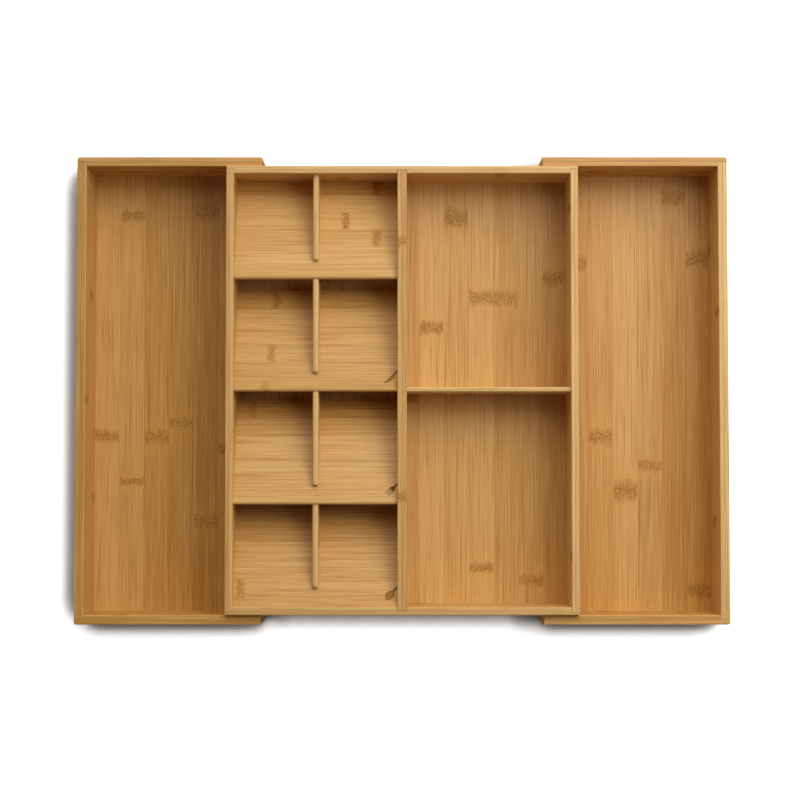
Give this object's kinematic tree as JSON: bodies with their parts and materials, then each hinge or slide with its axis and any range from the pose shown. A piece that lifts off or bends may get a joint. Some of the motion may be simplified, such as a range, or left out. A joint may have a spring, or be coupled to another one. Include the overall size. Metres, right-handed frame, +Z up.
{
  "type": "expanding cutlery tray",
  "caption": "Expanding bamboo cutlery tray: a centre unit with sloping cutlery tiers and utensil wells, between side trays that slide out from under it.",
  "frame": {"origin": "middle of the tray's footprint on the surface it stands on", "axes": "+X to the right as pictured, along the slides; +Y to the back; +Z up"},
  "size_m": [0.558, 0.4, 0.063],
  "materials": {
    "bamboo_wall": "satin lacquered bamboo",
    "bamboo_base": "satin lacquered bamboo",
    "bamboo_tier": "satin lacquered bamboo",
    "foot_pad": "matt"
  },
  "bodies": {
    "centre_unit": {"centre_back_wall": "bamboo_wall", "centre_front_wall": "bamboo_wall", "centre_left_wall": "bamboo_wall", "centre_right_wall": "bamboo_wall", "centre_base": "bamboo_base", "central_divider": "bamboo_wall", "cross_divider": "bamboo_wall", "tier_panel_1": "bamboo_tier", "tier_panel_2": "bamboo_tier", "tier_panel_3": "bamboo_tier", "tier_panel_4": "bamboo_tier", "tier_fin_1": "bamboo_tier", "tier_fin_2": "bamboo_tier", "tier_fin_3": "bamboo_tier", "tier_fin_4": "bamboo_tier", "left_back_key": "bamboo_wall", "left_front_key": "bamboo_wall", "right_back_key": "bamboo_wall", "right_front_key": "bamboo_wall"},
    "left_tray": {"left_tray_side_wall": "bamboo_wall", "left_tray_back_wall": "bamboo_wall", "left_tray_front_wall": "bamboo_wall", "left_tray_base": "bamboo_base", "left_tray_feet": "foot_pad"},
    "right_tray": {"right_tray_side_wall": "bamboo_wall", "right_tray_back_wall": "bamboo_wall", "right_tray_front_wall": "bamboo_wall", "right_tray_base": "bamboo_base", "right_tray_feet": "foot_pad"}
  },
  "joints": [
    {"name": "left_tray_slide", "type": "slide", "parent": "centre_unit", "child": "left_tray", "axis": [1, 0, 0], "range_m": [0, 0.1195]},
    {"name": "right_tray_slide", "type": "slide", "parent": "centre_unit", "child": "right_tray", "axis": [-1, 0, 0], "range_m": [0, 0.1195]}
  ]
}
